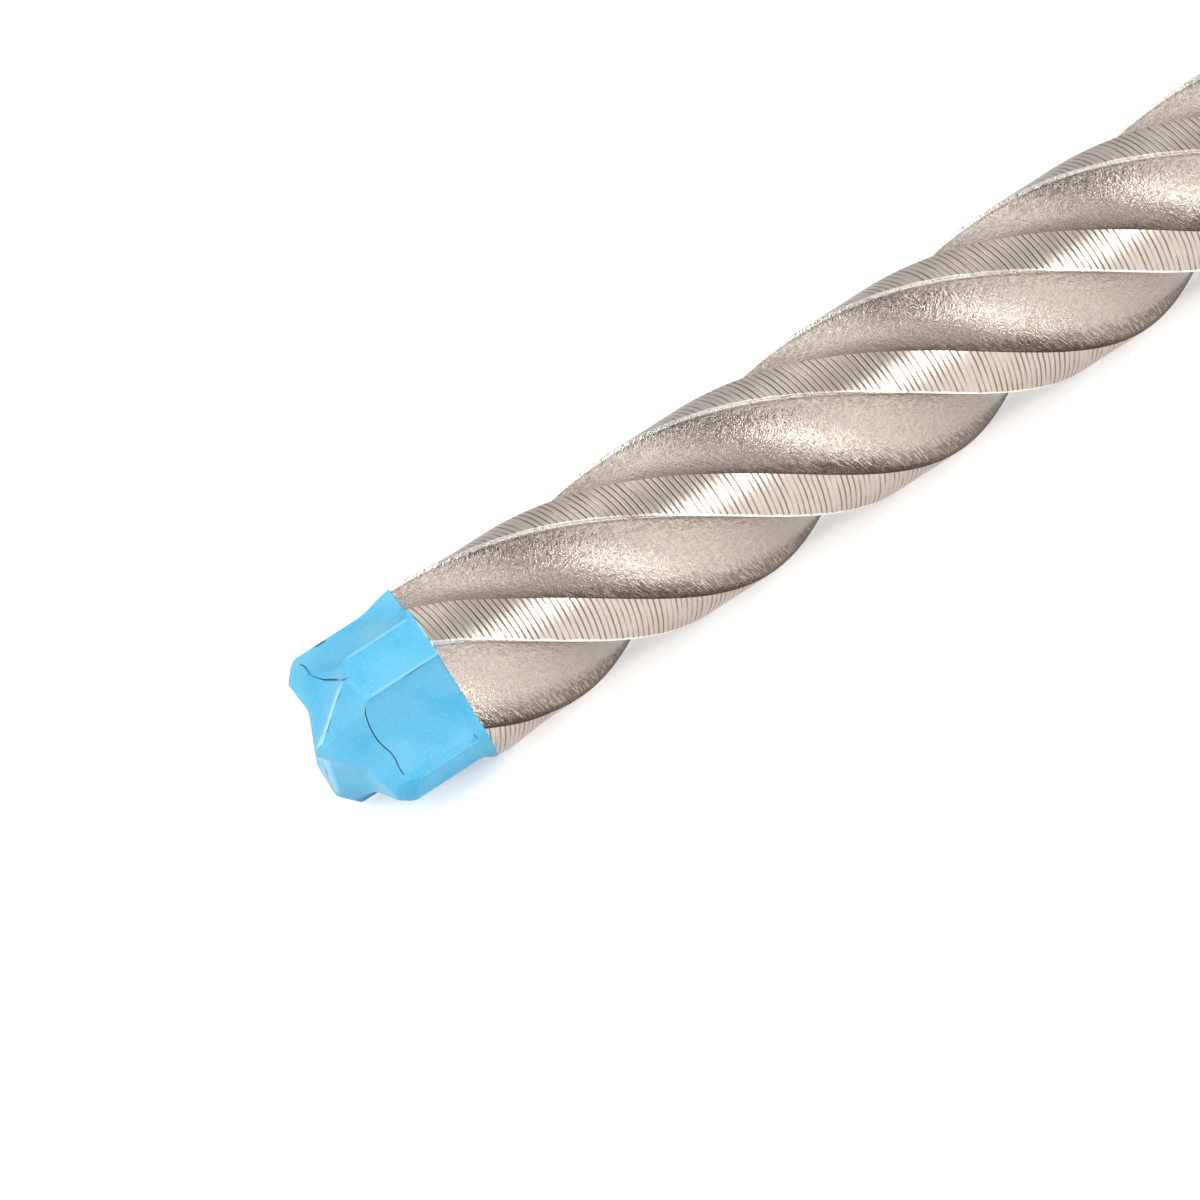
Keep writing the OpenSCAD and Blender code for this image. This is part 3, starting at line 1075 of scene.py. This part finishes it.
class DRILLBIT_OT_steel_body(bpy.types.Operator):
    """Make the steel body: slotted shank, helical flutes and the neck under the paint"""

    bl_idname = "drill_bit.steel_body"
    bl_label = "Steel Body"

    def execute(self, context):
        sizes, finish = context.scene.bit_sizes, context.scene.bit_finish
        part = Section(sizes)
        x, y, height, deep = steel_surface(part)
        rear_x, rear_y, rear_z = end_cap(x.shape[1], height[0], REAR_CAP_R)
        front_x, front_y, front_z = end_cap(x.shape[1], height[-1], FRONT_CAP_R)
        x = np.concatenate([rear_x[::-1], x, front_x])
        y = np.concatenate([rear_y[::-1], y, front_y])
        height = np.concatenate([rear_z, height, front_z])
        maps = column_maps(part, height, np.concatenate([[0, 0], deep, [1, 1]]))
        body = make_piece("steel_body", place(sizes, x, y, height[:, None]), maps, STEEL_SHARP)
        body.data.materials.append(steel_material(sizes, finish, *shared_groups(finish)))
        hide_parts("drill_body")
        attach(body, "root")
        return {"FINISHED"}


class DRILLBIT_OT_carbide_head(bpy.types.Operator):
    """Make the carbide head: four lobes with ground facets, under blue lacquer"""

    bl_idname = "drill_bit.carbide_head"
    bl_label = "Carbide Head"

    def execute(self, context):
        sizes, finish = context.scene.bit_sizes, context.scene.bit_finish
        x, y, up, maps = head_surface(Section(sizes))
        x = np.concatenate([0 * x[:1], x])
        y = np.concatenate([0 * y[:1], y])
        up = np.concatenate([up[:1], up])
        maps = {name: np.concatenate([grid[:1], grid]) for name, grid in maps.items()}
        head = make_piece("painted_head", place(sizes, x, y, up), maps, HEAD_SHARP)
        _, lacquer = shared_groups(finish)
        head.data.materials.append(paint_material(finish, lacquer))
        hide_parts("carbide_head")
        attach(head, "root")
        return {"FINISHED"}


def camera_axes(stage):
    """Right, up and forward of the camera: the side of the bit that faces it is turned by the
    camera's tilt along the axis and by its roll in the picture."""
    t, roll = stage.camera_tilt, stage.camera_roll
    along = Vector((1, 0, 0))
    front = Vector((0, math.sin(stage.facing), math.cos(stage.facing)))
    up = Vector((0, math.cos(stage.facing), -math.sin(stage.facing)))
    flat = math.cos(t) * along + math.sin(t) * front
    right_axis = math.cos(roll) * flat - math.sin(roll) * up
    up_axis = math.sin(roll) * flat + math.cos(roll) * up
    forward = math.sin(t) * along - math.cos(t) * front
    return right_axis, up_axis, forward


PICTURE_PIXELS = 1200
SENSOR_WIDTH = 36
FARTHEST_SEEN = 10


def add_camera(sizes, stage):
    """Camera with a long lens, at the place from which the tip falls where it should. Gives
    the direction in which it looks."""
    right, up, forward = camera_axes(stage)
    x, y, ahead = stage.tip_place
    tip = Vector((sizes.tip_x, 0, sizes.axis_height))
    data = bpy.data.cameras.new("camera")
    data.sensor_width = SENSOR_WIDTH
    data.lens = stage.lens_pixels / PICTURE_PIXELS * SENSOR_WIDTH
    data.clip_end = FARTHEST_SEEN
    camera = add_object("camera", data)
    turned = Matrix((right, up, -forward)).transposed().to_4x4()
    turned.translation = tip - (x * right - y * up + ahead * forward)
    camera.matrix_world = turned
    bpy.context.scene.camera = camera
    return forward


def add_lamp(name, direction, distance, size, power, target):
    """Flat soft lamp at a distance in a direction from its target, turned to face it. Its size
    is the width and the length of its lit face."""
    data = bpy.data.lights.new(name, "AREA")
    data.shape = "RECTANGLE"
    data.size, data.size_y = size
    data.energy = power
    lamp = add_object(name, data)
    lamp.location = target + direction.normalized() * distance
    lamp.rotation_euler = (-direction).to_track_quat("-Z", "Y").to_euler()


def rays(tree, *kinds):
    """Wires that are 1 for rays of the given kinds."""
    path = new_node(tree, "ShaderNodeLightPath")
    return [Wire(tree, path.outputs[f"Is {kind} Ray"]) for kind in kinds]


FLOOR_GLOW = 0.5
FLOOR_HALF = 1.5


def floor_material(stage):
    """Pale floor that reads as white to the eye and in reflections, and keeps the shadow."""
    material, tree, shader = new_material("pale_floor")
    feed(shader.inputs["Base Color"], (*stage.floor_colour, 1))
    feed(shader.inputs["Roughness"], 0.9)
    feed(shader.inputs["Specular IOR Level"], 0.0)
    seen = largest(*rays(tree, "Camera", "Glossy", "Transmission"))
    glow = joined(tree, "ShaderNodeEmission", {
        "Color": (1, 1, 1, 1), "Strength": seen * FLOOR_GLOW})
    both = joined(tree, "ShaderNodeAddShader", {0: Wire(tree, shader.outputs[0]), 1: glow})
    feed(tree.nodes["Material Output"].inputs["Surface"], both)
    return material


def add_floor(stage):
    """Wide flat floor at height 0, under the bit."""
    mesh = bpy.data.meshes.new("floor")
    corners = [(x * FLOOR_HALF, y * FLOOR_HALF, 0) for x, y in ((-1, -1), (1, -1), (1, 1), (-1, 1))]
    mesh.from_pydata(corners, [], [(0, 1, 2, 3)])
    floor = add_object("floor", mesh)
    mesh.materials.append(floor_material(stage))


def set_world(stage, unlit):
    """Even light from all round. A reflection sees it darker where the room lies dark beside the
    lamp; the eye sees plain white. unlit holds pairs of a direction and a half angle."""
    world = bpy.data.worlds.new("studio")
    world.use_nodes = True
    bpy.context.scene.world = world
    tree = world.node_tree
    background = tree.nodes["Background"]
    feed(background.inputs["Color"], (1, 1, 1, 1))
    glossy, camera = rays(tree, "Glossy", "Camera")
    direction = joined(tree, "ShaderNodeTexCoord", {}, "Generated")
    dark = []
    for toward, width in unlit:
        facing = joined(tree, "ShaderNodeVectorMath", {0: direction, 1: toward}, "Value",
                        operation="DOT_PRODUCT")
        dark.append(band(facing, math.cos(width), math.cos(width / 2)))
    mirrored = mix_value(largest(*dark), stage.mirror_strength, stage.room_strength)
    strength = mix_value(glossy, stage.world_strength, mirrored)
    feed(background.inputs["Strength"], mix_value(camera, strength, 1.0))


LIT_PLACE = 30 * MM


class DRILLBIT_OT_stage(bpy.types.Operator):
    """Make the stage: pale floor, soft studio lamps and the camera"""

    bl_idname = "drill_bit.stage"
    bl_label = "Stage"

    def execute(self, context):
        sizes, stage = context.scene.bit_sizes, context.scene.bit_stage
        forward = add_camera(sizes, stage)
        add_floor(stage)
        tilt = stage.camera_tilt
        along = Vector((1, 0, 0))
        front = (-forward + math.sin(tilt) * along).normalized()
        side = along.cross(front)
        near_room = (0.86 * front - 0.48 * along - 0.15 * side).normalized()
        far_room = (0.44 * front + 0.90 * along).normalized()
        set_world(stage, ((near_room, stage.near_room_width), (far_room, stage.far_room_width)))
        target = Vector((sizes.tip_x + LIT_PLACE, 0, sizes.axis_height))
        key = math.cos(tilt) * front + math.sin(tilt) * along
        for name, direction, distance, size, power in (
                ("key", key, 0.6, (0.2, 0.15), 1.5),
                ("top", Vector((0, 0.1, 1)), 0.7, (0.5, 0.5), 0.9),
                ("fill", Vector((-0.85, -0.15, 0.6)), 0.7, (0.5, 0.5), 3.0)):
            add_lamp(name, direction, distance, size, power, target)
        context.scene.view_settings.view_transform = "Standard"
        return {"FINISHED"}


class DRILLBIT_PT_panel(bpy.types.Panel):
    """Lists the pieces of the drill bit in the sidebar"""

    bl_label = "Drill Bit"
    bl_idname = "DRILLBIT_PT_panel"
    bl_space_type = "VIEW_3D"
    bl_region_type = "UI"
    bl_category = "Drill Bit"

    def draw(self, context):
        layout = self.layout
        for operator in OPERATORS:
            layout.operator(operator.bl_idname)
        for group in (context.scene.bit_sizes, context.scene.bit_finish, context.scene.bit_stage):
            box = layout.box()
            for name in group.__annotations__:
                box.prop(group, name)


OPERATORS = (DRILLBIT_OT_steel_body, DRILLBIT_OT_carbide_head, DRILLBIT_OT_stage)
CLASSES = (BitSizes, BitFinish, BitStage, *OPERATORS, DRILLBIT_PT_panel)


def register():
    for cls in CLASSES:
        bpy.utils.register_class(cls)
    bpy.types.Scene.bit_sizes = PointerProperty(type=BitSizes)
    bpy.types.Scene.bit_finish = PointerProperty(type=BitFinish)
    bpy.types.Scene.bit_stage = PointerProperty(type=BitStage)


def unregister():
    del bpy.types.Scene.bit_sizes
    del bpy.types.Scene.bit_finish
    del bpy.types.Scene.bit_stage
    for cls in reversed(CLASSES):
        bpy.utils.unregister_class(cls)


def main():
    """Registers the classes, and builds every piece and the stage."""
    register()
    bpy.ops.drill_bit.steel_body()
    bpy.ops.drill_bit.carbide_head()
    bpy.ops.drill_bit.stage()
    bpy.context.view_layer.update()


if __name__ == "__main__":
    main()
